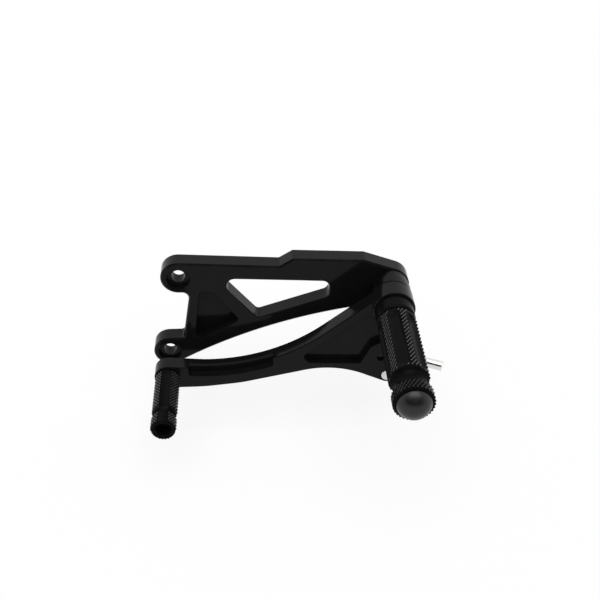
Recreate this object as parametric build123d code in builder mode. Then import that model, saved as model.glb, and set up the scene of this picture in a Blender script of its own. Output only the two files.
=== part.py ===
from build123d import *
import math
import os

os.makedirs("parts", exist_ok=True)

# All sizes are millimetres. X runs along the plate, Z is up and the rider's foot is at negative Y.
# The origin is midway between the two frame bolts, on the back face of the plate.

# Frame bolts and ears
bolt_spacing = 54.5
bolt_lean = 9.0
bolt_hole_r = 4.1
head_recess_r = 7.1
head_recess_deep = 3.0
upper_ear_r = 10.5
lower_ear_r = 9.8

# Plate
plate_thick = 11.0
plate_pocket_deep = 6.7
pivot_x = 129.4
pivot_z = 17.3
pivot_end_r = 12.3
edge_break = 0.5
front_bevel = 1.0

# Clearances
running_gap = 0.03
seat_gap = 0.02
bolt_gap = 0.15
side_play = 0.25

# Pivot stack
pivot_bolt_r = 4.0
pivot_head_r = 6.5
pivot_head_tall = 4.4
pivot_head_deep = 5.0
ring_thick = 5.5
ring_r = 11.6
barrel_thick = 7.1
barrel_r = 12.2
sleeve_r = 7.0
bush_wall = 1.5
bush_length = 5.6
washer_thick = 0.8
washer_r = 10.6

# Lever
hub_r = 12.5
hub_proud = 2.0
lever_thick = 10.0
lever_pocket_deep = 4.5
arm_recess_deep = 5.0
arm_recess_tall = 5.7
toe_x = -133.9
toe_z = -46.0
toe_boss_r = 8.0
spare_hole_x = -5.8
spare_hole_z = -35.6
spare_hole_r = 2.5
stud_x = -1.4
stud_z = -49.4
stud_end_r = 5.0

# Foot peg, lengths measured from its flange
flange_r = 11.2
flange_length = 9.6
peg_crest_r = 10.7
peg_body_length = 63.0
peg_waist_r = 7.6
peg_collar_from = 73.3
peg_collar_length = 7.7
peg_collar_r = 10.8
peg_flutes = 6
peg_flute_deep = 1.7
peg_flute_cutter = 6.0
peg_ridge_turn = 12.0
peg_thread_deep = 32.0
slider_rim_r = 9.4
slider_rise = 6.5
slider_lip = 0.7
slider_stem_r = 5.0
slider_stem_length = 10.0

# Toe peg, lengths measured from the lever
toe_r = 6.95
toe_length = 46.8
toe_groove_at = 36.1
toe_groove_wide = 4.0
toe_groove_r = 5.6
toe_flutes = 3
toe_flute_deep = 1.1
toe_flute_cutter = 9.2
toe_flute_turn = 0.0
toe_mouth_r = 4.3
toe_mouth_deep = 13.0
toe_screw_r = 2.5
toe_head_r = 4.1
toe_head_tall = 5.0

# Ball joint and rod
stud_r = 3.9
stud_hex_r = 5.0
stud_hex_tall = 4.0
stud_neck_r = 2.3
ball_back = 14.2
ball_r = 4.0
ball_gap = 0.06
socket_r = 5.5
socket_half = 5.0
socket_mouth_r = 3.3
socket_shank_r = 4.2
socket_shank_to = 19.0
nut_across = 10.0
nut_thick = 4.0
rod_r = 3.0
rod_thread_r = 2.7
rod_from = 10.0
rod_to = 38.4
rod_swing = 23.7
rod_droop = 2.0

# Where each layer of the pivot stack starts, measured out from the back of the plate
ring_at = plate_thick
barrel_at = ring_at + ring_thick
sleeve_at = barrel_at + barrel_thick
hub_at = sleeve_at + side_play
lever_back = hub_at + 0.4
lever_front = lever_back + lever_thick
hub_front = lever_front + hub_proud
washer_at = hub_front + side_play
flange_at = washer_at + washer_thick

bolt_dx = bolt_spacing / 2 * math.sin(math.radians(bolt_lean))
bolt_dz = bolt_spacing / 2 * math.cos(math.radians(bolt_lean))
upper_bolt = (bolt_dx, bolt_dz)
lower_bolt = (-bolt_dx, -bolt_dz)
pivot = (pivot_x, pivot_z)


def face_at(depth, x=0.0, z=0.0):
    """Sketch plane facing the rider, the given depth out from the back of the plate."""
    return Plane(origin=(x, -depth, z), x_dir=(1, 0, 0), z_dir=(0, -1, 0))


def turning(x, z):
    """Profile plane for turned work: first coordinate outward, second the radius."""
    return Plane(origin=(x, 0, z), x_dir=(0, -1, 0), z_dir=(-1, 0, 0))


def turning_axis(x, z):
    """Axis of turned work that points at the rider."""
    return Axis((x, 0, z), (0, -1, 0))


def on_circle(centre, radius, degrees):
    """Point on a circle, the angle counted from +X toward +Z."""
    turn = math.radians(degrees)
    return (centre[0] + radius * math.cos(turn), centre[1] + radius * math.sin(turn))


def tangent_point(start, centre, radius, side):
    """Where a straight edge from a point touches a circle, on the side chosen by the sign."""
    dx = start[0] - centre[0]
    dz = start[1] - centre[1]
    reach = math.hypot(dx, dz)
    turn = math.atan2(dz, dx) + side * math.acos(radius / reach)
    return (centre[0] + radius * math.cos(turn), centre[1] + radius * math.sin(turn))


def corner(sketch, point):
    """The sketch corner nearest a point."""
    return sketch.vertices().sort_by_distance(point)[0]


# Bracket: plate with two ears, a step along the top and an arched lower edge
ear_top = on_circle(upper_bolt, upper_ear_r, 86.2)
step_low = (64.0, 33.45)
step_high = (72.1, 38.5)
crown_end = (114.4, 36.1)
pivot_upper = tangent_point(crown_end, pivot, pivot_end_r, -1)
belly_right = (105.0, 2.1)
pivot_lower = tangent_point(belly_right, pivot, pivot_end_r, 1)
belly_left = on_circle(lower_bolt, lower_ear_r, -60.0)
belly_mid = (53.0, -11.3)
neck_low = (4.7, lower_bolt[1] + lower_ear_r)
neck_high = (10.4, upper_bolt[1] - upper_ear_r)
lower_top = on_circle(lower_bolt, lower_ear_r, 90.0)
upper_bottom = on_circle(upper_bolt, upper_ear_r, -90.0)

window_top_left = (26.3, 26.1)
window_foot = (50.3, -3.0)
window_low_right = (93.8, 11.3)
window_top_right = (93.8, 22.1)

with BuildPart() as bracket:
    with BuildSketch(face_at(0)) as plate_shape:
        with BuildLine():
            Line(ear_top, step_low)
            Line(step_low, step_high)
            Line(step_high, crown_end)
            Line(crown_end, pivot_upper)
            ThreePointArc(pivot_upper, on_circle(pivot, pivot_end_r, 0), pivot_lower)
            Line(pivot_lower, belly_right)
            ThreePointArc(belly_right, belly_mid, belly_left)
            ThreePointArc(belly_left, on_circle(lower_bolt, lower_ear_r, 180), lower_top)
            Line(lower_top, neck_low)
            Line(neck_low, neck_high)
            Line(neck_high, upper_bottom)
            ThreePointArc(upper_bottom, on_circle(upper_bolt, upper_ear_r, 180), ear_top)
        make_face()
        fillet(corner(plate_shape, step_low), 2.0)
        fillet(corner(plate_shape, step_high), 2.0)
        fillet(corner(plate_shape, crown_end), 5.0)
        fillet(corner(plate_shape, belly_right), 30.0)
        fillet(corner(plate_shape, neck_high), 4.0)
        fillet(corner(plate_shape, neck_low), 2.0)
    extrude(amount=plate_thick)
    with BuildSketch(face_at(0)) as window_shape:
        with BuildLine():
            Polyline(window_top_left, window_foot, window_low_right, window_top_right, close=True)
        make_face()
        fillet(corner(window_shape, window_top_left), 5.0)
        fillet(corner(window_shape, window_foot), 3.0)
        fillet(corner(window_shape, window_low_right), 4.5)
        fillet(corner(window_shape, window_top_right), 4.5)
    extrude(amount=plate_thick, mode=Mode.SUBTRACT)
    with BuildSketch(face_at(plate_thick)) as pocket_shape:
        with BuildLine():
            Polyline((16.5, 17.1), (24.1, 16.2), (39.3, -4.3), (15.7, -17.5), (11.8, -15.9), close=True)
        make_face()
        fillet(pocket_shape.vertices(), 1.6)
    extrude(amount=-plate_pocket_deep, mode=Mode.SUBTRACT)
    chamfer(bracket.faces().sort_by(Axis.Y)[0].outer_wire().edges(), front_bevel)
    chamfer(bracket.faces().sort_by(Axis.Y)[0].inner_wires().edges(), edge_break)
    chamfer(bracket.faces().sort_by(Axis.Y)[-1].edges(), edge_break)
    with BuildSketch(face_at(0)):
        with Locations(upper_bolt, lower_bolt):
            Circle(bolt_hole_r)
        with Locations(pivot):
            Circle(pivot_bolt_r + bolt_gap)
    extrude(amount=plate_thick, mode=Mode.SUBTRACT)
    with BuildSketch(face_at(plate_thick)):
        with Locations(upper_bolt, lower_bolt):
            Circle(head_recess_r)
    extrude(amount=-head_recess_deep, mode=Mode.SUBTRACT)
    with BuildSketch(face_at(0)):
        with Locations(pivot):
            Circle(pivot_head_r + 0.5)
    extrude(amount=pivot_head_deep, mode=Mode.SUBTRACT)
bracket.part.label = "bracket"
export_step(bracket.part, "parts/bracket.step")

# Pivot bolt: low socket head sunk in the back of the plate, shank into the foot peg
bolt_tip = flange_at + peg_thread_deep - 4.0

with BuildPart() as pivot_bolt:
    with BuildSketch(face_at(pivot_head_deep - pivot_head_tall, pivot_x, pivot_z)):
        Circle(pivot_head_r)
    extrude(amount=pivot_head_tall)
    chamfer(pivot_bolt.faces().sort_by(Axis.Y)[-1].edges(), 0.4)
    with BuildSketch(face_at(pivot_head_deep, pivot_x, pivot_z)):
        Circle(pivot_bolt_r)
    extrude(amount=bolt_tip - pivot_head_deep)
    chamfer(pivot_bolt.faces().sort_by(Axis.Y)[0].edges(), 0.8)
    with BuildSketch(face_at(pivot_head_deep - pivot_head_tall, pivot_x, pivot_z)):
        RegularPolygon(2.5, 6, major_radius=False)
    extrude(amount=2.8, mode=Mode.SUBTRACT)
pivot_bolt.part.label = "pivot_bolt"
export_step(pivot_bolt.part, "parts/pivot_bolt.step")


def turned_ring(start, length, radius, bore, bevel):
    """Flat ring on the pivot axis with both outer edges broken."""
    with BuildPart() as ring:
        with BuildSketch(turning(pivot_x, pivot_z)):
            with BuildLine():
                Polyline(
                    (start, bore),
                    (start, radius - bevel),
                    (start + bevel, radius),
                    (start + length - bevel, radius),
                    (start + length, radius - bevel),
                    (start + length, bore),
                    close=True,
                )
            make_face()
        revolve(axis=turning_axis(pivot_x, pivot_z))
    return ring


bolt_bore = pivot_bolt_r + bolt_gap
bush_r = sleeve_r + running_gap + bush_wall

spacer_ring = turned_ring(ring_at, ring_thick, ring_r, bolt_bore, 0.3)
spacer_ring.part.label = "spacer_ring"
export_step(spacer_ring.part, "parts/spacer_ring.step")

spacer_barrel = turned_ring(barrel_at, barrel_thick, barrel_r, bolt_bore, 0.7)
spacer_barrel.part.label = "spacer_barrel"
export_step(spacer_barrel.part, "parts/spacer_barrel.step")

pivot_sleeve = turned_ring(sleeve_at, washer_at - sleeve_at, sleeve_r, bolt_bore, 0.2)
pivot_sleeve.part.label = "pivot_sleeve"
export_step(pivot_sleeve.part, "parts/pivot_sleeve.step")

rear_bush = turned_ring(hub_at, bush_length, bush_r, sleeve_r + running_gap, 0.2)
rear_bush.part.label = "rear_bush"
export_step(rear_bush.part, "parts/rear_bush.step")

front_bush = turned_ring(hub_front - bush_length, bush_length, bush_r, sleeve_r + running_gap, 0.2)
front_bush.part.label = "front_bush"
export_step(front_bush.part, "parts/front_bush.step")

outer_washer = turned_ring(washer_at, washer_thick, washer_r, bolt_bore, 0.15)
outer_washer.part.label = "outer_washer"
export_step(outer_washer.part, "parts/outer_washer.step")

# Shift lever, drawn about the pivot: hub, long arm to the toe peg and short arm to the rod
hub = (0.0, 0.0)
toe_boss = (toe_x, toe_z)
stud = (stud_x, stud_z)
arm_top_left = (-112.0, -40.0)
sweep_r = 110.0
sweep_lean = math.radians(2.0)
sweep_centre = (
    arm_top_left[0] + sweep_r * math.sin(sweep_lean),
    arm_top_left[1] + sweep_r * math.cos(sweep_lean),
)
arm_top_mid = on_circle(sweep_centre, sweep_r, -72.5)
boss_upper = tangent_point(arm_top_left, toe_boss, toe_boss_r, 1)
web_r = hub_r - 0.6
sweep_to_hub = math.degrees(math.atan2(-sweep_centre[1], -sweep_centre[0]))
sweep_fan = math.degrees(math.acos((sweep_r + web_r) / math.hypot(sweep_centre[0], sweep_centre[1])))
arm_top_right = on_circle(sweep_centre, sweep_r, sweep_to_hub - sweep_fan)
hub_upper = on_circle(hub, web_r, sweep_to_hub - sweep_fan + 180.0)
arm_low_left = (-112.0, toe_z - toe_boss_r)
arm_low_mid = (-90.0, -51.8)
arch_left = (-54.4, -44.2)
arch_mid = (-33.8, -42.8)
arch_right = (-14.0, -49.0)
stud_lower = tangent_point(arch_right, stud, stud_end_r, 1)
heel_upper = on_circle(hub, web_r, -8.0)
heel_lower = tangent_point(heel_upper, stud, stud_end_r, -1)
recess_r = sweep_r + arm_recess_tall
recess_left = -121.3
recess_right = -70.5


def recess_floor(x):
    """Point on the lower edge of the arm's recess."""
    return (x, sweep_centre[1] - math.sqrt(recess_r**2 - (x - sweep_centre[0]) ** 2))


recess_low_left = recess_floor(recess_left)
recess_low_mid = recess_floor((recess_left + recess_right) / 2)
recess_low_right = recess_floor(recess_right)
recess_top_right = (recess_right, recess_low_right[1] + 2 * arm_recess_tall)
recess_top_left = (recess_left, recess_low_left[1] + 2 * arm_recess_tall)

with BuildPart() as shift_lever:
    with BuildSketch(face_at(lever_back, pivot_x, pivot_z)) as lever_shape:
        with BuildLine():
            Line(boss_upper, arm_top_left)
            ThreePointArc(arm_top_left, arm_top_mid, arm_top_right)
            Line(arm_top_right, hub_upper)
            ThreePointArc(hub_upper, on_circle(hub, web_r, 45), heel_upper)
            Line(heel_upper, heel_lower)
            ThreePointArc(heel_lower, on_circle(stud, stud_end_r, -50), stud_lower)
            Line(stud_lower, arch_right)
            ThreePointArc(arch_right, arch_mid, arch_left)
            Line(arch_left, arm_low_mid)
            Line(arm_low_mid, arm_low_left)
            Line(arm_low_left, (toe_x, toe_z - toe_boss_r))
            ThreePointArc((toe_x, toe_z - toe_boss_r), (toe_x - toe_boss_r, toe_z), boss_upper)
        make_face()
        fillet(corner(lever_shape, arm_low_left), 100.0)
        fillet(corner(lever_shape, arm_low_mid), 80.0)
    extrude(amount=lever_thick)
    chamfer(shift_lever.faces().sort_by(Axis.Y)[0].edges(), edge_break)
    chamfer(shift_lever.faces().sort_by(Axis.Y)[-1].edges(), edge_break)
    with BuildSketch(face_at(lever_front, pivot_x, pivot_z)) as web_shape:
        with BuildLine():
            Polyline(
                (-53.0, -32.9),
                (-49.5, -38.0),
                (-18.2, -39.6),
                (-12.0, -27.3),
                (-5.0, -23.6),
                (3.0, -22.0),
                (3.0, -8.0),
                (-4.9, 6.1),
                close=True,
            )
        make_face()
        fillet(corner(web_shape, (-53.0, -32.9)), 2.5)
        fillet(corner(web_shape, (-49.5, -38.0)), 3.0)
        fillet(corner(web_shape, (-18.2, -39.6)), 1.5)
        fillet(corner(web_shape, (-12.0, -27.3)), 4.0)
    extrude(amount=-lever_pocket_deep, mode=Mode.SUBTRACT)
    with BuildSketch(face_at(lever_front, pivot_x, pivot_z)) as recess_shape:
        with BuildLine():
            ThreePointArc(recess_low_left, recess_low_mid, recess_low_right)
            Polyline(recess_low_right, recess_top_right, recess_top_left, recess_low_left)
        make_face()
        fillet(corner(recess_shape, recess_low_left), 1.2)
        fillet(corner(recess_shape, recess_low_right), 1.2)
    extrude(amount=-arm_recess_deep, mode=Mode.SUBTRACT)
    with BuildSketch(turning(pivot_x, pivot_z)):
        with BuildLine():
            Polyline(
                (hub_at, 0),
                (hub_at, hub_r - edge_break),
                (hub_at + edge_break, hub_r),
                (hub_front - edge_break, hub_r),
                (hub_front, hub_r - edge_break),
                (hub_front, 0),
                close=True,
            )
        make_face()
    revolve(axis=turning_axis(pivot_x, pivot_z))
    with BuildSketch(face_at(hub_at, pivot_x, pivot_z)):
        Circle(bush_r + seat_gap)
        with Locations(toe_boss):
            Circle(toe_screw_r + seat_gap)
        with Locations((spare_hole_x, spare_hole_z)):
            Circle(spare_hole_r)
        with Locations(stud):
            Circle(stud_r + seat_gap)
    extrude(amount=hub_front - hub_at, mode=Mode.SUBTRACT)
shift_lever.part.label = "shift_lever"
export_step(shift_lever.part, "parts/shift_lever.step")


def flute_cutter(x, z, start, stop, radius):
    """Round bar with ball ends that cuts one flute along a turned piece."""
    slant = radius * math.sqrt(0.5)
    with BuildPart() as cutter:
        with BuildSketch(turning(x, z)):
            with BuildLine():
                Line((start - radius, 0), (stop + radius, 0))
                ThreePointArc((stop + radius, 0), (stop + slant, slant), (stop, radius))
                Line((stop, radius), (start, radius))
                ThreePointArc((start, radius), (start - slant, slant), (start - radius, 0))
            make_face()
        revolve(axis=turning_axis(x, z))
    return cutter


def flute_set(x, z, line_r, first_turn, count, start, stop, radius):
    """Cutters evenly round a turned piece, the first one turned from straight up."""
    cutters = []
    for number in range(count):
        turn = math.radians(first_turn + number * 360.0 / count)
        flute_x = x + line_r * math.sin(turn)
        flute_z = z + line_r * math.cos(turn)
        cutters.append(flute_cutter(flute_x, flute_z, start, stop, radius))
    return cutters


# Foot peg: flange, fluted grip, waist and end collar in one turning
body_at = flange_at + flange_length
body_end = flange_at + peg_body_length
collar_at = flange_at + peg_collar_from
collar_end = collar_at + peg_collar_length
waist_mid = (body_end + collar_at) / 2
flute_line_r = peg_crest_r - peg_flute_deep + peg_flute_cutter
flute_turn = peg_ridge_turn + 180.0 / peg_flutes
flute_from = body_at + 7.0
flute_to = body_end - 5.5
peg_cutters = flute_set(
    pivot_x, pivot_z, flute_line_r, flute_turn, peg_flutes, flute_from, flute_to, peg_flute_cutter
)

with BuildPart() as foot_peg:
    with BuildSketch(turning(pivot_x, pivot_z)):
        with BuildLine():
            Line((flange_at, 0), (flange_at, flange_r - 0.6))
            Line((flange_at, flange_r - 0.6), (flange_at + 0.6, flange_r))
            Line((flange_at + 0.6, flange_r), (body_at - 2.0, flange_r))
            ThreePointArc(
                (body_at - 2.0, flange_r), (body_at - 0.6, flange_r - 0.5), (body_at, flange_r - 1.6)
            )
            Line((body_at, flange_r - 1.6), (body_at + 1.4, peg_crest_r))
            Line((body_at + 1.4, peg_crest_r), (body_end - 0.6, peg_crest_r))
            Line((body_end - 0.6, peg_crest_r), (body_end, peg_crest_r - 0.6))
            ThreePointArc(
                (body_end, peg_crest_r - 0.6), (waist_mid, peg_waist_r), (collar_at, peg_collar_r - 0.6)
            )
            Line((collar_at, peg_collar_r - 0.6), (collar_at + 0.6, peg_collar_r))
            Line((collar_at + 0.6, peg_collar_r), (collar_end - 0.6, peg_collar_r))
            Line((collar_end - 0.6, peg_collar_r), (collar_end, peg_collar_r - 0.6))
            Line((collar_end, peg_collar_r - 0.6), (collar_end, 0))
            Line((collar_end, 0), (flange_at, 0))
        make_face()
    revolve(axis=turning_axis(pivot_x, pivot_z))
    for cutter in peg_cutters:
        add(cutter.part, mode=Mode.SUBTRACT)
    with BuildSketch(face_at(flange_at, pivot_x, pivot_z)):
        Circle(pivot_bolt_r + seat_gap)
    extrude(amount=peg_thread_deep, mode=Mode.SUBTRACT)
    with BuildSketch(face_at(collar_end, pivot_x, pivot_z)):
        Circle(slider_stem_r + seat_gap)
    extrude(amount=-slider_stem_length - 1.0, mode=Mode.SUBTRACT)
foot_peg.part.label = "foot_peg"
export_step(foot_peg.part, "parts/foot_peg.step")

# Peg slider: shallow plastic dome with a stem pressed into the peg
dome_r = (slider_rim_r**2 + slider_rise**2) / (2 * slider_rise)
dome_at = collar_end + slider_lip
dome_half = math.asin(slider_rim_r / dome_r) / 2
dome_side = dome_at + slider_rise - dome_r + dome_r * math.cos(dome_half)
dome_side_r = dome_r * math.sin(dome_half)

with BuildPart() as peg_slider:
    with BuildSketch(turning(pivot_x, pivot_z)):
        with BuildLine():
            Line((collar_end - slider_stem_length, 0), (collar_end - slider_stem_length, slider_stem_r))
            Line((collar_end - slider_stem_length, slider_stem_r), (collar_end, slider_stem_r))
            Line((collar_end, slider_stem_r), (collar_end, slider_rim_r))
            Line((collar_end, slider_rim_r), (dome_at, slider_rim_r))
            ThreePointArc((dome_at, slider_rim_r), (dome_side, dome_side_r), (dome_at + slider_rise, 0))
            Line((dome_at + slider_rise, 0), (collar_end - slider_stem_length, 0))
        make_face()
    revolve(axis=turning_axis(pivot_x, pivot_z))
peg_slider.part.label = "peg_slider"
export_step(peg_slider.part, "parts/peg_slider.step")

# Toe peg: fluted grip, ring groove and hollow end collar in one turning
toe_px = pivot_x + toe_x
toe_pz = pivot_z + toe_z
toe_end = lever_front + toe_length
groove_at = lever_front + toe_groove_at
groove_from = groove_at - toe_groove_wide / 2
groove_to = groove_at + toe_groove_wide / 2
toe_line_r = toe_r - toe_flute_deep + toe_flute_cutter
toe_from = lever_front + 3.0
toe_to = groove_from - 1.6
toe_cutters = flute_set(
    toe_px, toe_pz, toe_line_r, toe_flute_turn, toe_flutes, toe_from, toe_to, toe_flute_cutter
)
head_top = toe_end - toe_mouth_deep + toe_head_tall

with BuildPart() as toe_peg:
    with BuildSketch(turning(toe_px, toe_pz)):
        with BuildLine():
            Line((lever_front, 0), (lever_front, toe_r - 0.6))
            Line((lever_front, toe_r - 0.6), (lever_front + 0.6, toe_r))
            Line((lever_front + 0.6, toe_r), (groove_from, toe_r))
            ThreePointArc((groove_from, toe_r), (groove_at, toe_groove_r), (groove_to, toe_r))
            Line((groove_to, toe_r), (toe_end - 0.7, toe_r))
            Line((toe_end - 0.7, toe_r), (toe_end, toe_r - 0.7))
            Line((toe_end, toe_r - 0.7), (toe_end, 0))
            Line((toe_end, 0), (lever_front, 0))
        make_face()
    revolve(axis=turning_axis(toe_px, toe_pz))
    for cutter in toe_cutters:
        add(cutter.part, mode=Mode.SUBTRACT)
    with BuildSketch(face_at(toe_end, toe_px, toe_pz)):
        Circle(toe_mouth_r)
    extrude(amount=-toe_mouth_deep, mode=Mode.SUBTRACT)
    chamfer(toe_peg.faces().sort_by(Axis.Y)[0].inner_wires().edges(), 1.2)
    with BuildSketch(face_at(lever_front, toe_px, toe_pz)):
        Circle(toe_screw_r + bolt_gap)
    extrude(amount=toe_length, mode=Mode.SUBTRACT)
toe_peg.part.label = "toe_peg"
export_step(toe_peg.part, "parts/toe_peg.step")

# Toe peg screw: socket head down in the hollow end, thread through the lever
with BuildPart() as toe_peg_screw:
    with BuildSketch(face_at(toe_end - toe_mouth_deep, toe_px, toe_pz)):
        Circle(toe_head_r)
    extrude(amount=toe_head_tall)
    chamfer(toe_peg_screw.faces().sort_by(Axis.Y)[0].edges(), 0.4)
    with BuildSketch(face_at(lever_back + 0.5, toe_px, toe_pz)):
        Circle(toe_screw_r)
    extrude(amount=toe_end - toe_mouth_deep - lever_back - 0.5)
    with BuildSketch(face_at(head_top, toe_px, toe_pz)):
        RegularPolygon(2.0, 6, major_radius=False)
    extrude(amount=-2.6, mode=Mode.SUBTRACT)
toe_peg_screw.part.label = "toe_peg_screw"
export_step(toe_peg_screw.part, "parts/toe_peg_screw.step")

# Ball stud: thread through the lever's short arm, hexagon behind it, then neck and ball
stud_px = pivot_x + stud_x
stud_pz = pivot_z + stud_z
ball_at = lever_back - ball_back
hex_at = lever_back - stud_hex_tall
neck_in_ball = math.sqrt(ball_r**2 - stud_neck_r**2)

with BuildPart() as ball_stud:
    with BuildSketch(turning(stud_px, stud_pz)):
        with BuildLine():
            ThreePointArc(
                (ball_at - ball_r, 0), (ball_at, ball_r), (ball_at + neck_in_ball, stud_neck_r)
            )
            Line((ball_at + neck_in_ball, stud_neck_r), (hex_at, stud_neck_r))
            Line((hex_at, stud_neck_r), (hex_at, stud_r))
            Line((hex_at, stud_r), (lever_front - 0.4, stud_r))
            Line((lever_front - 0.4, stud_r), (lever_front, stud_r - 0.4))
            Line((lever_front, stud_r - 0.4), (lever_front, 0))
            Line((lever_front, 0), (ball_at - ball_r, 0))
        make_face()
    revolve(axis=turning_axis(stud_px, stud_pz))
    with BuildSketch(face_at(hex_at, stud_px, stud_pz)):
        RegularPolygon(stud_hex_r, 6, major_radius=False)
    extrude(amount=stud_hex_tall)
ball_stud.part.label = "ball_stud"
export_step(ball_stud.part, "parts/ball_stud.step")

# The rod leaves the ball to the right, swung toward the rider and drooping a little
swing = math.radians(rod_swing)
droop = math.radians(rod_droop)
rod_way = Vector(math.cos(swing) * math.cos(droop), -math.sin(swing) * math.cos(droop), -math.sin(droop))
ball_point = Vector(stud_px, -ball_at, stud_pz)
link_x_dir = Vector(0, 0, 1).cross(rod_way).normalized()


def along_rod(distance):
    """Sketch plane square to the rod, the given distance from the ball."""
    return Plane(origin=ball_point + rod_way * distance, x_dir=link_x_dir, z_dir=rod_way)


# Ball socket: round cup over the ball with a shank that takes the rod
cup_r = ball_r + ball_gap

with BuildPart() as ball_socket:
    with BuildSketch(face_at(ball_at - socket_half, stud_px, stud_pz)):
        Circle(socket_r)
    extrude(amount=2 * socket_half - 2.4)
    chamfer(ball_socket.faces().sort_by(Axis.Y)[-1].edges(), 0.8)
    with BuildSketch(along_rod(0)):
        Circle(socket_shank_r)
    extrude(amount=socket_shank_to)
    with BuildSketch(turning(stud_px, stud_pz)):
        with BuildLine():
            ThreePointArc((ball_at - cup_r, 0), (ball_at, cup_r), (ball_at + cup_r, 0))
            Line((ball_at + cup_r, 0), (ball_at - cup_r, 0))
        make_face()
    revolve(axis=turning_axis(stud_px, stud_pz), mode=Mode.SUBTRACT)
    with BuildSketch(face_at(ball_at, stud_px, stud_pz)):
        Circle(socket_mouth_r)
    extrude(amount=socket_half + 4.0, mode=Mode.SUBTRACT)
    with BuildSketch(along_rod(rod_from)):
        Circle(rod_thread_r + seat_gap)
    extrude(amount=socket_shank_to, mode=Mode.SUBTRACT)
ball_socket.part.label = "ball_socket"
export_step(ball_socket.part, "parts/ball_socket.step")

# Lock nut on the rod, tight against the socket's shank
with BuildPart() as lock_nut:
    with BuildSketch(along_rod(socket_shank_to)):
        RegularPolygon(nut_across / 2, 6, major_radius=False)
        Circle(rod_thread_r + seat_gap, mode=Mode.SUBTRACT)
    extrude(amount=nut_thick)
lock_nut.part.label = "lock_nut"
export_step(lock_nut.part, "parts/lock_nut.step")

# Linkage rod: round bar cut square, its threaded end a little thinner
rod_plain_from = socket_shank_to + nut_thick + 0.6

with BuildPart() as linkage_rod:
    with BuildSketch(along_rod(rod_from)):
        Circle(rod_thread_r)
    extrude(amount=rod_plain_from - rod_from)
    with BuildSketch(along_rod(rod_plain_from)):
        Circle(rod_r)
    extrude(amount=rod_to - rod_plain_from)
linkage_rod.part.label = "linkage_rod"
export_step(linkage_rod.part, "parts/linkage_rod.step")
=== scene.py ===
"""Dressed scene of a motorbike rear set: side plate, shift lever, knurled pegs and linkage rod."""
import logging
import math
from dataclasses import dataclass, field
from enum import Enum

import bpy
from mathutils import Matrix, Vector


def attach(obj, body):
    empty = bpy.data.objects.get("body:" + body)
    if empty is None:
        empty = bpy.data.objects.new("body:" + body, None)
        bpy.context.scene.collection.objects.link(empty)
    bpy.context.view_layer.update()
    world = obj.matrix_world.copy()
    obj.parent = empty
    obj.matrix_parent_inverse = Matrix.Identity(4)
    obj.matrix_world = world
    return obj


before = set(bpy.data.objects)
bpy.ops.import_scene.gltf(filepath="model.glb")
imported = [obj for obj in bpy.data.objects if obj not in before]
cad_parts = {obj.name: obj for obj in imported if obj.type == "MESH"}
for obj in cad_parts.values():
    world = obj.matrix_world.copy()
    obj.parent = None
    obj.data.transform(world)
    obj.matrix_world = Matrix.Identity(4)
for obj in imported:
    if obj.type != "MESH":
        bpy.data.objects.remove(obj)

log = logging.getLogger("rear_set")
MM = 0.001
ORIGIN = (0.0, 0.0, 0.0)

# Width of a patch of slightly worn surface, and the part of its noise that shows in sheen and tone.
PATCH_MM = 7.0
PATCH_SHEEN = (0.3, 0.7)
PATCH_TONE = (0.35, 0.75)

# A wave texture of scale 1 repeats after this length. Die lines take this share of their width's
# scale along the bar, which draws them out.
WAVE_LENGTH = math.tau / 20.0
DIE_LINE_SHARE = 0.06


def linear(code: str) -> tuple[float, float, float, float]:
    """Turns an sRGB hex colour into linear light.

    Args:
        code: Six hex digits, with or without a leading hash sign.

    Returns:
        Red, green, blue and alpha as linear numbers.
    """
    digits = code.lstrip("#")
    channels = [int(digits[i : i + 2], 16) / 255.0 for i in (0, 2, 4)]
    light = [c / 12.92 if c <= 0.04045 else ((c + 0.055) / 1.055) ** 2.4 for c in channels]
    return (light[0], light[1], light[2], 1.0)


def add_node(
    tree: bpy.types.NodeTree,
    kind: str,
    values: dict[str | int, object] | None = None,
    links: dict[str | int, bpy.types.NodeSocket] | None = None,
    **settings: object,
) -> bpy.types.Node:
    """Adds one node with its settings, socket values and incoming links.

    Args:
        tree: The node tree that takes the node.
        kind: Blender's name for the node type.
        values: Numbers or colours for input sockets, by socket name or number.
        links: Output sockets to join to input sockets, by socket name or number.
        **settings: Properties of the node itself.

    Returns:
        The new node.
    """
    node = tree.nodes.new(kind)
    for name, value in settings.items():
        setattr(node, name, value)
    for name, value in (values or {}).items():
        node.inputs[name].default_value = value
    for name, socket in (links or {}).items():
        tree.links.new(socket, node.inputs[name])
    return node


class Grain(Enum):
    """How a surface was made, which sets the fine pattern it shows."""

    MILLED = "milled and dyed smooth"
    TURNED = "turned on a lathe"
    DRAWN = "drawn through a die"
    MOULDED = "moulded in a spark-eroded cavity"


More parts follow.
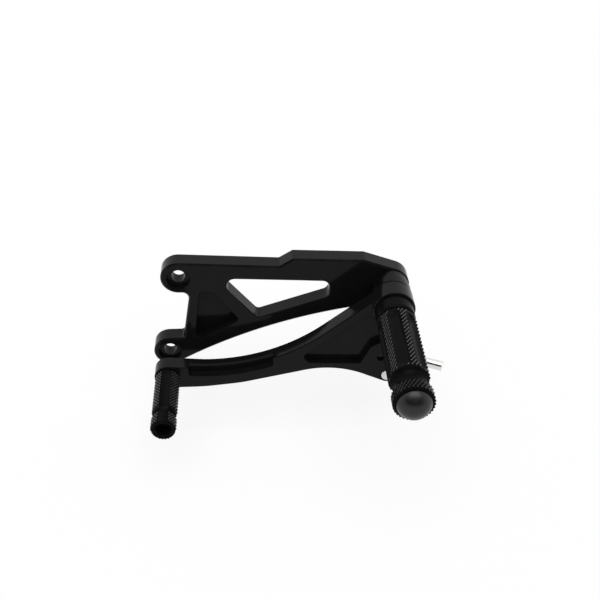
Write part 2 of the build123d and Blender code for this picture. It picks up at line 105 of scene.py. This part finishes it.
@dataclass(frozen=True)
class Finish:
    """One surface finish, with the pattern that its making leaves."""

    name: str
    slot: str
    colour: str
    worn_colour: str
    metallic: float
    roughness: float
    roughness_spread: float
    grain: Grain
    grain_mm: float
    grain_depth_mm: float
    gloss: float = 0.5

    def material(self) -> bpy.types.Material:
        """Builds the procedural material, or returns it where it exists.

        Returns:
            The material of this finish.
        """
        found = bpy.data.materials.get(self.name)
        if found:
            return found
        made = bpy.data.materials.new(self.name)
        made.use_nodes = True
        tree = made.node_tree
        tree.nodes.clear()
        place = add_node(tree, "ShaderNodeTexCoord").outputs["Object"]
        cloud = add_node(
            tree,
            "ShaderNodeTexNoise",
            {"Scale": 1.0 / (PATCH_MM * MM), "Detail": 4.0, "Roughness": 0.55},
            {"Vector": place},
        ).outputs["Fac"]
        tone = self._tone(tree, cloud)
        rough = add_node(
            tree,
            "ShaderNodeMapRange",
            {
                "From Min": PATCH_SHEEN[0],
                "From Max": PATCH_SHEEN[1],
                "To Min": self.roughness - self.roughness_spread,
                "To Max": self.roughness + self.roughness_spread,
            },
            {"Value": cloud},
        ).outputs["Result"]
        bump = add_node(
            tree,
            "ShaderNodeBump",
            {"Strength": 1.0, "Distance": self.grain_depth_mm * MM},
            {"Height": self._pattern(tree, place)},
        ).outputs["Normal"]
        shader = add_node(
            tree,
            "ShaderNodeBsdfPrincipled",
            {"Metallic": self.metallic, "Specular IOR Level": self.gloss},
            {"Base Color": tone, "Roughness": rough, "Normal": bump},
        )
        add_node(tree, "ShaderNodeOutputMaterial", None, {"Surface": shader.outputs["BSDF"]})
        return made

    def _tone(self, tree: bpy.types.NodeTree, cloud: bpy.types.NodeSocket) -> bpy.types.NodeSocket:
        """Joins the two tones of the finish along a slow cloud.

        Args:
            tree: The material's node tree.
            cloud: The slow noise that mixes the tones.

        Returns:
            The colour socket.
        """
        ramp = add_node(tree, "ShaderNodeValToRGB", None, {"Fac": cloud})
        ramp.color_ramp.elements[0].position = PATCH_TONE[0]
        ramp.color_ramp.elements[0].color = linear(self.colour)
        ramp.color_ramp.elements[1].position = PATCH_TONE[1]
        ramp.color_ramp.elements[1].color = linear(self.worn_colour)
        return ramp.outputs["Color"]

    def _pattern(
        self, tree: bpy.types.NodeTree, place: bpy.types.NodeSocket
    ) -> bpy.types.NodeSocket:
        """Draws the fine pattern of the making, at its real size.

        Args:
            tree: The material's node tree.
            place: Object coordinates, in metres.

        Returns:
            The height socket.
        """
        size = self.grain_mm * MM
        if self.grain is Grain.TURNED:
            return add_node(
                tree,
                "ShaderNodeTexWave",
                {
                    "Scale": WAVE_LENGTH / size,
                    "Distortion": 0.6,
                    "Detail": 2.0,
                    "Detail Scale": 1.5,
                },
                {"Vector": place},
                wave_type="BANDS",
                bands_direction="Y",
            ).outputs["Fac"]
        if self.grain is Grain.DRAWN:
            squeezed = add_node(
                tree, "ShaderNodeMapping", {"Scale": (DIE_LINE_SHARE, 1.0, 1.0)}, {"Vector": place}
            ).outputs["Vector"]
            return add_node(
                tree,
                "ShaderNodeTexNoise",
                {"Scale": 1.0 / size, "Detail": 3.0},
                {"Vector": squeezed},
            ).outputs["Fac"]
        detail = 2.0 if self.grain is Grain.MILLED else 5.0
        return add_node(
            tree, "ShaderNodeTexNoise", {"Scale": 1.0 / size, "Detail": detail}, {"Vector": place}
        ).outputs["Fac"]


# Tool marks, blasted pits and moulded grain are finer than half a millimetre and would not show at
# the photograph's size, so each is drawn at about that size. The gloss of the dyed films is matched
# to the object.

# Sealed anodised aluminium, dyed black after milling: deep black with a thin clear gloss at
# slanting angles.
MILLED_BLACK = Finish(
    name="anodised_aluminium_milled",
    slot="black_anodised",
    colour="#0F0F10",
    worn_colour="#121213",
    metallic=0.0,
    roughness=0.11,
    roughness_spread=0.03,
    grain=Grain.MILLED,
    grain_mm=2.4,
    grain_depth_mm=0.004,
    gloss=0.09,
)

# The same dye on turned work: fine tool rings pull each highlight out along the piece.
TURNED_BLACK = Finish(
    name="anodised_aluminium_turned",
    slot="black_anodised",
    colour="#08080A",
    worn_colour="#0C0C0D",
    metallic=0.0,
    roughness=0.2,
    roughness_spread=0.04,
    grain=Grain.TURNED,
    grain_mm=0.45,
    grain_depth_mm=0.004,
    gloss=0.073,
)

# Bead-blasted before dyeing: the fine pits swallow most of the gloss, so the grips look a dead,
# flat black.
BLASTED_BLACK = Finish(
    name="anodised_aluminium_blasted",
    slot="black_anodised",
    colour="#0B0B0C",
    worn_colour="#0E0E0F",
    metallic=0.0,
    roughness=0.3,
    roughness_spread=0.05,
    grain=Grain.MILLED,
    grain_mm=0.6,
    grain_depth_mm=0.006,
    gloss=0.023,
)

# Painted shade: the knurled flanks are coloured darker than the grip, for the shade down in their
# grooves.
KNURL_FLANK_SHADE = Finish(
    name="anodised_aluminium_knurl_flank_painted_shade",
    slot="black_anodised",
    colour="#060607",
    worn_colour="#090909",
    metallic=0.0,
    roughness=0.3,
    roughness_spread=0.05,
    grain=Grain.MILLED,
    grain_mm=0.5,
    grain_depth_mm=0.006,
    gloss=0.04,
)

# Painted highlight: the crests of the knurl take a light grey that stands in for the glint
# each one catches.
KNURL_CREST_HIGHLIGHT = Finish(
    name="anodised_aluminium_knurl_crest_painted_highlight",
    slot="black_anodised",
    colour="#3A3A3D",
    worn_colour="#4A4A4C",
    metallic=0.0,
    roughness=0.28,
    roughness_spread=0.05,
    grain=Grain.MILLED,
    grain_mm=0.5,
    grain_depth_mm=0.006,
)

# Dimmer painted highlight: the end collar's crests take a darker grey, for their fainter glint.
KNURL_COLLAR_HIGHLIGHT = Finish(
    name="anodised_aluminium_knurl_collar_dim_highlight",
    slot="black_anodised",
    colour="#202022",
    worn_colour="#2A2A2C",
    metallic=0.0,
    roughness=0.3,
    roughness_spread=0.05,
    grain=Grain.MILLED,
    grain_mm=0.5,
    grain_depth_mm=0.006,
    gloss=0.21,
)

# Moulded acetal: soft black, with a fine satin grain that spreads the lamp into a soft patch.
MOULDED_PLASTIC = Finish(
    name="acetal_moulded",
    slot="black_plastic",
    colour="#0A0A0B",
    worn_colour="#0D0D0E",
    metallic=0.0,
    roughness=0.36,
    roughness_spread=0.04,
    grain=Grain.MOULDED,
    grain_mm=0.5,
    grain_depth_mm=0.02,
    gloss=0.42,
)

# Black oxide on steel: brown-black and slightly oily.
BLACK_OXIDE = Finish(
    name="steel_black_oxide",
    slot="black_steel",
    colour="#0D0C0C",
    worn_colour="#171615",
    metallic=0.0,
    roughness=0.32,
    roughness_spread=0.06,
    grain=Grain.TURNED,
    grain_mm=0.5,
    grain_depth_mm=0.004,
)

# Zinc-plated drawn steel: bright and a little milky, with faint lines along the bar.
DRAWN_STEEL = Finish(
    name="zinc_plated_steel_drawn",
    slot="bright_steel",
    colour="#DADAD7",
    worn_colour="#E4E4E1",
    metallic=1.0,
    roughness=0.24,
    roughness_spread=0.05,
    grain=Grain.DRAWN,
    grain_mm=0.5,
    grain_depth_mm=0.006,
)

# Turned bright steel for the joint and the sleeve: ring marks and a clean mirror between them.
TURNED_STEEL = Finish(
    name="zinc_plated_steel_turned",
    slot="bright_steel",
    colour="#CDCDCB",
    worn_colour="#DADAD8",
    metallic=1.0,
    roughness=0.26,
    roughness_spread=0.05,
    grain=Grain.TURNED,
    grain_mm=0.5,
    grain_depth_mm=0.005,
)

# Sintered bearing bronze: warm, dull and full of tiny oil pores.
BRONZE = Finish(
    name="bearing_bronze_sintered",
    slot="bearing_bronze",
    colour="#8A6238",
    worn_colour="#A07545",
    metallic=1.0,
    roughness=0.42,
    roughness_spread=0.06,
    grain=Grain.MOULDED,
    grain_mm=0.4,
    grain_depth_mm=0.02,
)


def dress(piece: bpy.types.Object, finish: Finish) -> None:
    """Gives a piece one finish on all its faces.

    Args:
        piece: A CAD node or a new piece.
        finish: The finish it takes.
    """
    material = finish.material()
    if not piece.material_slots:
        piece.data.materials.append(material)
    for place in piece.material_slots:
        place.material = material
    log.info("dressed %s with %s", piece.name, finish.name)


def dress_nodes(names: tuple[str, ...], finish: Finish) -> None:
    """Gives several CAD nodes one finish.

    Args:
        names: The nodes' names.
        finish: The finish they take.
    """
    for name in names:
        dress(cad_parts[name], finish)


def deselect() -> None:
    """Leaves object mode with nothing selected."""
    if bpy.context.object and bpy.context.object.mode != "OBJECT":
        bpy.ops.object.mode_set(mode="OBJECT")
    bpy.ops.object.select_all(action="DESELECT")


def apply_all(piece: bpy.types.Object) -> None:
    """Applies every modifier of a piece in order."""
    bpy.context.view_layer.objects.active = piece
    for name in [modifier.name for modifier in piece.modifiers]:
        bpy.ops.object.modifier_apply(modifier=name)


def settle(piece: bpy.types.Object) -> None:
    """Puts a piece's place, turn and scale into its mesh, with its faces outward."""
    deselect()
    piece.select_set(True)
    bpy.context.view_layer.objects.active = piece
    bpy.ops.object.transform_apply(location=True, rotation=True, scale=True)
    bpy.ops.object.mode_set(mode="EDIT")
    bpy.ops.mesh.select_all(action="SELECT")
    bpy.ops.mesh.normals_make_consistent(inside=False)
    bpy.ops.object.mode_set(mode="OBJECT")


@dataclass
class FluteCut:
    """Where the flutes of a peg were cut, so that no knurl stands there."""

    count: int
    first_deg: float
    line_r: float
    cutter_r: float
    start: float
    stop: float

    def takes(self, radius: float, turn_deg: float, along: float) -> bool:
        """Tells whether a point on the peg's round lies in a flute.

        Args:
            radius: The peg's radius there, in millimetres.
            turn_deg: The point's turn from straight up, in degrees.
            along: Its distance out from the plate, in millimetres.

        Returns:
            True where a flute cuts the point away.
        """
        step = 360.0 / self.count
        off = (turn_deg - self.first_deg + step / 2.0) % step - step / 2.0
        level = 2.0 * self.line_r * radius * math.cos(math.radians(off))
        across = self.line_r**2 + radius**2 - level
        past = max(0.0, self.start - along, along - self.stop)
        return across + past**2 < self.cutter_r**2


# A tooth is a cube pulled into a ridge, so it has eight corners.
TOOTH_CORNERS = 8


@dataclass
class KnurlBand:
    """A band of teeth round a turned peg, in millimetres from the plate's back and the peg's axis.

    The pitch is a little coarser than a wheel would cut, so that the teeth show at the photograph's
    size. The lean is the teeth's pitch along the peg over their pitch round it. Long narrow crests
    join up into slanting strokes, and square ones stand alone as diamonds.
    """

    name: str
    body: str
    axis_x: float
    axis_z: float
    start: float
    stop: float
    radius: float
    pitch: float = 2.1
    lean: float = 1.5
    tooth_tall: float = 0.6
    tooth_sunk: float = 0.1
    crest: tuple[float, float] = (0.94, 0.24)
    # The tops of the teeth take this finish, a painted highlight; the flanks take the painted
    # shade.
    crest_highlight_finish: Finish = KNURL_CREST_HIGHLIGHT
    flutes: FluteCut | None = None

    def build(self) -> bpy.types.Object:
        """Models one pair of teeth, repeats it along and round the peg, and clears the flutes.

        Returns:
            The finished band.
        """
        row = self.pitch * self.lean
        rows = int((self.stop - self.start) / row)
        around = round(math.tau * self.radius / self.pitch)
        step = math.tau / around
        band = self._pair_of_teeth(row, step)
        self._repeat(band, row, rows, step, around)
        slack = (self.stop - self.start - rows * row) / 2.0 + row / 4.0
        band.rotation_euler = (0.0, 0.0, math.pi)
        band.location = (self.axis_x * MM, -(self.start + slack) * MM, self.axis_z * MM)
        settle(band)
        if self.flutes:
            self._clear_flutes(band)
        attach(band, self.body)
        log.info("built %s with %d faces", band.name, len(band.data.polygons))
        return band

    def _pair_of_teeth(self, row: float, step: float) -> bpy.types.Object:
        """Models two teeth, the second one half a row out and half a step round.

        Args:
            row: Pitch of the teeth along the peg, in millimetres.
            step: Pitch of the teeth round the peg, in radians.

        Returns:
            The pair, standing on a peg along Y through the origin.
        """
        deep = (self.tooth_tall + self.tooth_sunk) * MM
        deselect()
        bpy.ops.mesh.primitive_cube_add(size=1.0, location=ORIGIN)
        band = bpy.context.object
        band.name = self.name
        band.data.name = self.name
        # The flanks are painted shade and the top face, the crest, is painted highlight.
        for finish in (KNURL_FLANK_SHADE, self.crest_highlight_finish):
            band.data.materials.append(finish.material())
        top = next(face.index for face in band.data.polygons if face.normal.z > 0.9)
        band.data.polygons[top].material_index = 1
        bpy.ops.object.mode_set(mode="EDIT")
        bpy.ops.mesh.select_mode(type="FACE")
        bpy.ops.mesh.select_all(action="DESELECT")
        bpy.ops.object.mode_set(mode="OBJECT")
        band.data.polygons[top].select = True
        bpy.ops.object.mode_set(mode="EDIT")
        bpy.ops.transform.resize(value=(self.crest[0], self.crest[1], 1.0))
        bpy.ops.mesh.select_all(action="SELECT")
        side = self.pitch / math.sqrt(2.0) * MM
        bpy.ops.transform.resize(value=(side, side, deep), center_override=ORIGIN)
        bpy.ops.transform.rotate(value=-math.pi / 4.0, orient_axis="Z", center_override=ORIGIN)
        bpy.ops.transform.resize(value=(1.0, self.lean, 1.0), center_override=ORIGIN)
        lift = (self.radius - self.tooth_sunk) * MM + deep / 2.0
        bpy.ops.transform.translate(value=(0.0, 0.0, lift))
        bpy.ops.mesh.duplicate()
        bpy.ops.transform.translate(value=(0.0, row / 2.0 * MM, 0.0))
        bpy.ops.transform.rotate(value=step / 2.0, orient_axis="Y", center_override=ORIGIN)
        bpy.ops.object.mode_set(mode="OBJECT")
        return band

    def _repeat(
        self, band: bpy.types.Object, row: float, rows: int, step: float, around: int
    ) -> None:
        """Repeats the pair of teeth along the peg and then round it.

        Args:
            band: The pair of teeth, which becomes the whole band.
            row: Pitch along the peg, in millimetres.
            rows: How many pairs stand along the peg.
            step: Pitch round the peg, in radians.
            around: How many pairs stand round the peg.
        """
        along = band.modifiers.new("along", "ARRAY")
        along.count = rows
        along.use_relative_offset = False
        along.use_constant_offset = True
        along.constant_offset_displace = (0.0, row * MM, 0.0)
        deselect()
        bpy.ops.object.empty_add(location=ORIGIN, rotation=(0.0, step, 0.0))
        turner = bpy.context.object
        round_about = band.modifiers.new("round", "ARRAY")
        round_about.count = around
        round_about.use_relative_offset = False
        round_about.use_object_offset = True
        round_about.offset_object = turner
        deselect()
        band.select_set(True)
        apply_all(band)
        bpy.data.objects.remove(turner)

    def _clear_flutes(self, band: bpy.types.Object) -> None:
        """Deletes the teeth that stand where a flute was cut.

        Args:
            band: The band with teeth all round.
        """
        deselect()
        band.select_set(True)
        bpy.context.view_layer.objects.active = band
        bpy.ops.object.mode_set(mode="EDIT")
        bpy.ops.mesh.select_mode(type="VERT")
        bpy.ops.mesh.select_all(action="DESELECT")
        bpy.ops.object.mode_set(mode="OBJECT")
        points = band.data.vertices
        for first in range(0, len(points), TOOTH_CORNERS):
            tooth = [points[first + i] for i in range(TOOTH_CORNERS)]
            middle = sum((point.co for point in tooth), Vector()) / TOOTH_CORNERS / MM
            turn = math.degrees(math.atan2(middle.x - self.axis_x, middle.z - self.axis_z))
            if self.flutes.takes(self.radius, turn, -middle.y):
                for point in tooth:
                    point.select = True
        bpy.ops.object.mode_set(mode="EDIT")
        bpy.ops.mesh.delete(type="VERT")
        bpy.ops.object.mode_set(mode="OBJECT")


@dataclass
class SidePlate:
    """The milled plate that bolts to the motorbike's frame."""

    nodes: tuple[str, ...] = ("bracket",)

    def build(self) -> None:
        """Dresses the plate."""
        dress_nodes(self.nodes, MILLED_BLACK)


@dataclass
class PivotStack:
    """Spacers, sleeve, bushes and bolt that carry the lever and the foot peg."""

    turned: tuple[str, ...] = ("spacer_ring", "spacer_barrel")
    fixings: tuple[str, ...] = ("pivot_bolt", "outer_washer")
    sleeve: tuple[str, ...] = ("pivot_sleeve",)
    bushes: tuple[str, ...] = ("rear_bush", "front_bush")

    def build(self) -> None:
        """Dresses each layer of the stack."""
        dress_nodes(self.turned, TURNED_BLACK)
        dress_nodes(self.fixings, BLACK_OXIDE)
        dress_nodes(self.sleeve, TURNED_STEEL)
        dress_nodes(self.bushes, BRONZE)


@dataclass
class ShiftLever:
    """The pocketed lever that turns on the pivot."""

    nodes: tuple[str, ...] = ("shift_lever",)

    def build(self) -> None:
        """Dresses the lever."""
        dress_nodes(self.nodes, MILLED_BLACK)


@dataclass
class FootPeg:
    """The fluted foot peg with its knurled ridges, end collar and plastic end."""

    axis_x: float = 129.4
    axis_z: float = 17.3
    crest_r: float = 10.7
    collar_r: float = 10.8
    grip: tuple[float, float] = (48.6, 99.8)
    collar: tuple[float, float] = (111.2, 117.8)
    flutes: FluteCut = field(default_factory=lambda: FluteCut(6, 42.0, 15.0, 6.3, 53.9, 94.8))

    def build(self) -> None:
        """Dresses the peg and adds both knurled bands."""
        dress_nodes(("foot_peg",), BLASTED_BLACK)
        dress_nodes(("peg_slider",), MOULDED_PLASTIC)
        # The grip's crests are painted highlight, the collar's a dimmer painted highlight, and all
        # flanks painted shade.
        for name, span, radius, finish, flutes in (
            ("foot_peg_ridge_knurl", self.grip, self.crest_r, KNURL_CREST_HIGHLIGHT, self.flutes),
            ("foot_peg_collar_knurl", self.collar, self.collar_r, KNURL_COLLAR_HIGHLIGHT, None),
        ):
            KnurlBand(
                name,
                "frame",
                self.axis_x,
                self.axis_z,
                span[0],
                span[1],
                radius,
                crest_highlight_finish=finish,
                flutes=flutes,
            ).build()


@dataclass
class ToePeg:
    """The small peg at the lever's end, knurled between its three flutes.

    The collar has no teeth in line with the flutes.
    """

    axis_x: float = -4.5
    axis_z: float = -28.7
    radius: float = 6.95
    grip: tuple[float, float] = (35.0, 68.1)
    collar: tuple[float, float] = (72.6, 80.3)
    pitch: float = 1.7
    tooth_tall: float = 0.48
    crest: tuple[float, float] = (0.5, 0.5)
    flutes: FluteCut = field(default_factory=lambda: FluteCut(3, 0.0, 15.05, 9.4, 37.25, 66.75))
    plain: FluteCut = field(default_factory=lambda: FluteCut(3, 0.0, 15.05, 9.4, 72.0, 81.0))

    def build(self) -> None:
        """Dresses the peg and its screw and adds both knurled bands."""
        dress_nodes(("toe_peg",), BLASTED_BLACK)
        dress_nodes(("toe_peg_screw",), BLACK_OXIDE)
        # Both bands take the painted highlight on their crests and the painted shade on their
        # flanks.
        for name, span, flutes in (
            ("toe_peg_side_knurl", self.grip, self.flutes),
            ("toe_peg_collar_knurl", self.collar, self.plain),
        ):
            KnurlBand(
                name,
                "lever",
                self.axis_x,
                self.axis_z,
                span[0],
                span[1],
                self.radius,
                pitch=self.pitch,
                tooth_tall=self.tooth_tall,
                crest=self.crest,
                flutes=flutes,
            ).build()


@dataclass
class RodLinkage:
    """Ball stud, socket, lock nut and rod."""

    joint: tuple[str, ...] = ("ball_stud", "ball_socket", "lock_nut")
    rod: tuple[str, ...] = ("linkage_rod",)

    def build(self) -> None:
        """Dresses the joint and the rod."""
        dress_nodes(self.joint, TURNED_STEEL)
        dress_nodes(self.rod, DRAWN_STEEL)


@dataclass
class Studio:
    """White floor, even tent light, one wide lamp overhead, a black card, and the camera.

    The floor lies just below the toe peg at the lever's lowest pose, so that it hides no piece at
    any pose.
    """

    floor_z: float = -70.5
    floor_half: float = 3.0
    floor_middle: tuple[float, float] = (0.05, 0.0)
    floor_colour: str = "#F4F4F4"
    tent_colour: str = "#FFFFFF"
    tent_strength: float = 0.5
    lamp_strength: float = 2.0
    lamp_spread_deg: float = 60.0
    lamp_tilt_deg: float = 20.0
    lamp_up: float = 1.5
    paper_glow: float = 0.82
    card_size: tuple[float, float] = (2.4, 0.8)
    card_far: float = 0.85
    card_aim: tuple[float, float, float] = (0.07, 0.0, 0.0)
    card_colour: str = "#050505"
    lens_mm: float = 60.3
    sensor_mm: float = 36.0
    clip_near: float = 0.01
    stand: tuple[float, float, float] = (0.0515, -0.5052, 0.3558)
    look: tuple[float, float, float] = (0.04073, 0.81813, -0.57358)

    def build(self) -> None:
        """Builds the floor, the light, the card and the camera."""
        self._floor()
        self._light()
        self._card()
        self._camera()

    def _floor(self) -> None:
        """Lays the pale floor."""
        deselect()
        place = (*self.floor_middle, self.floor_z * MM)
        bpy.ops.mesh.primitive_plane_add(size=2.0 * self.floor_half, location=place)
        floor = bpy.context.object
        floor.name = "floor"
        paper = bpy.data.materials.new("matt_white_paper")
        paper.use_nodes = True
        tree = paper.node_tree
        tree.nodes.clear()
        colour = linear(self.floor_colour)
        matt = add_node(tree, "ShaderNodeBsdfDiffuse", {"Color": colour}).outputs["BSDF"]
        white = add_node(tree, "ShaderNodeEmission", {"Strength": 1.0}).outputs["Emission"]
        share = add_node(
            tree,
            "ShaderNodeMath",
            {1: self.paper_glow},
            {0: self._seen(tree)},
            operation="MULTIPLY",
        ).outputs["Value"]
        paper_mix = add_node(tree, "ShaderNodeMixShader", None, {"Fac": share, 1: matt, 2: white})
        add_node(tree, "ShaderNodeOutputMaterial", None, {"Surface": paper_mix.outputs["Shader"]})
        floor.data.materials.append(paper)

    def _seen(self, tree: bpy.types.NodeTree) -> bpy.types.NodeSocket:
        """Tells rays that show a thing, straight or in gloss and glass, from those that light it.

        Args:
            tree: The node tree that takes the nodes.

        Returns:
            A socket that is 1 for a ray that shows a thing and 0 for the others.
        """
        ways = add_node(tree, "ShaderNodeLightPath").outputs
        gloss = add_node(
            tree,
            "ShaderNodeMath",
            None,
            {0: ways["Is Glossy Ray"], 1: ways["Is Transmission Ray"]},
            operation="MAXIMUM",
        ).outputs["Value"]
        return add_node(
            tree, "ShaderNodeMath", None, {0: ways["Is Camera Ray"], 1: gloss}, operation="MAXIMUM"
        ).outputs["Value"]

    def _light(self) -> None:
        """Sets the even tent light and the wide lamp overhead."""
        world = bpy.data.worlds.new("light_tent")
        bpy.context.scene.world = world
        world.use_nodes = True
        tree = world.node_tree
        tent = tree.nodes["Background"]
        tent.inputs["Color"].default_value = linear(self.tent_colour)
        level = add_node(
            tree,
            "ShaderNodeMapRange",
            {"To Min": self.tent_strength, "To Max": 1.0},
            {"Value": self._seen(tree)},
        ).outputs["Result"]
        tree.links.new(level, tent.inputs["Strength"])
        deselect()
        bpy.ops.object.light_add(type="SUN", location=(0.0, 0.0, self.lamp_up))
        lamp = bpy.context.object
        lamp.name = "overhead_lamp"
        lamp.data.energy = self.lamp_strength
        lamp.data.angle = math.radians(self.lamp_spread_deg)
        lamp.rotation_euler = (math.radians(self.lamp_tilt_deg), 0.0, 0.0)

    def _card(self) -> None:
        """Hangs a black card behind the camera, which only glossy faces turned that way show."""
        deselect()
        toward = Vector(self.look)
        bpy.ops.mesh.primitive_plane_add(size=1.0, location=ORIGIN)
        card = bpy.context.object
        card.name = "black_card"
        card.scale = (self.card_size[0], self.card_size[1], 1.0)
        card.rotation_euler = toward.to_track_quat("Z", "Y").to_euler()
        card.location = Vector(self.card_aim) - toward * self.card_far
        settle(card)
        felt = bpy.data.materials.new("black_card_felt")
        felt.use_nodes = True
        tree = felt.node_tree
        tree.nodes.clear()
        colour = linear(self.card_colour)
        dark = add_node(tree, "ShaderNodeBsdfDiffuse", {"Color": colour}).outputs["BSDF"]
        add_node(tree, "ShaderNodeOutputMaterial", None, {"Surface": dark})
        card.data.materials.append(felt)
        card.visible_camera = False
        card.visible_diffuse = False
        card.visible_shadow = False

    def _camera(self) -> None:
        """Stands the camera where the photograph was taken from."""
        data = bpy.data.cameras.new("camera")
        data.lens = self.lens_mm
        data.sensor_width = self.sensor_mm
        data.sensor_fit = "HORIZONTAL"
        data.clip_start = self.clip_near
        camera = bpy.data.objects.new("camera", data)
        bpy.context.scene.collection.objects.link(camera)
        camera.location = self.stand
        camera.rotation_euler = Vector(self.look).to_track_quat("-Z", "Y").to_euler()
        bpy.context.scene.camera = camera


def main() -> None:
    """Builds the sub-assemblies in order, then the studio."""
    logging.basicConfig(level=logging.INFO, format="%(name)s: %(message)s")
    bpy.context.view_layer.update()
    bpy.context.scene.view_settings.view_transform = "Standard"
    parts = (SidePlate(), PivotStack(), ShiftLever(), FootPeg(), ToePeg(), RodLinkage(), Studio())
    for part in parts:
        part.build()
        log.info("%s done", type(part).__name__)


if __name__ == "__main__":
    main()
